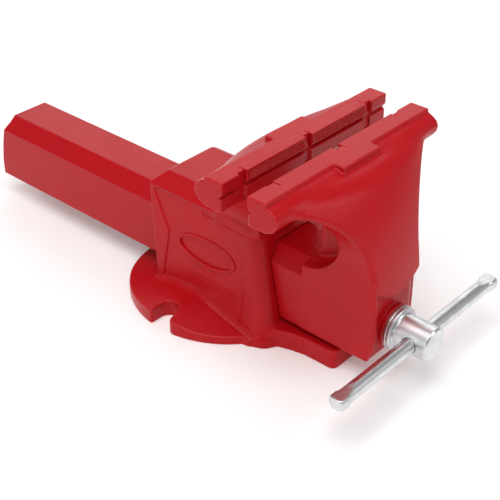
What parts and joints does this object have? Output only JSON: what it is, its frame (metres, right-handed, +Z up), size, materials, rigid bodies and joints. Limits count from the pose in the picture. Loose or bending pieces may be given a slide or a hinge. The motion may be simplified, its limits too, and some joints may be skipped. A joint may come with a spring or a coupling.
{
  "type": "bench vise",
  "caption": "Bench vise with wide winged jaws, a box slide bar through a waisted body, a round slotted base and a screw turned by a sliding bar handle.",
  "frame": {"origin": "centre of the round base on its underside, midway between the two bolt slots", "axes": "+Z up, +Y to the back of the bench along the slide bar, +X to the user's right; the user stands at -Y"},
  "size_m": [0.158, 0.3698, 0.134],
  "materials": {
    "paint": "semi-gloss red enamel over cast iron",
    "plate_paint": "red enamel over serrated steel",
    "zinc": "bright zinc plate",
    "steel": "oiled steel"
  },
  "bodies": {
    "body": {"fixed_body": "paint", "spindle_nut": "steel", "nut_dowel": "steel", "nut_bolt": "zinc", "nut_bolt_washer": "zinc", "rear_jaw_plate_left": "plate_paint", "rear_jaw_plate_right": "plate_paint", "rear_plate_pins": "steel"},
    "front_jaw": {"sliding_jaw": "paint", "front_jaw_plate_left": "plate_paint", "front_jaw_plate_right": "plate_paint", "front_plate_pins": "steel"},
    "screw": {"spindle": "zinc", "thrust_washer": "zinc", "anti_rattle_spring": "steel", "retaining_washer": "zinc", "retaining_pin": "steel"},
    "handle": {"tommy_bar": "zinc"}
  },
  "joints": [
    {"name": "jaw_slide", "type": "slide", "parent": "body", "child": "front_jaw", "axis": [0, -1, 0], "range_m": [-0.018, 0.132]},
    {"name": "screw_turn", "type": "hinge", "parent": "front_jaw", "child": "screw", "pos_m": [0, -0.15, 0.0313], "axis": [0, -1, 0], "range_deg": [-1081, 7921]},
    {"name": "handle_slide", "type": "slide", "parent": "screw", "child": "handle", "axis": [1, 0, 0], "range_m": [-0.058, 0.058]}
  ],
  "couplings": [
    {"joint": "screw_turn", "follows": "jaw_slide", "rad_per_m": 1047.2}
  ]
}
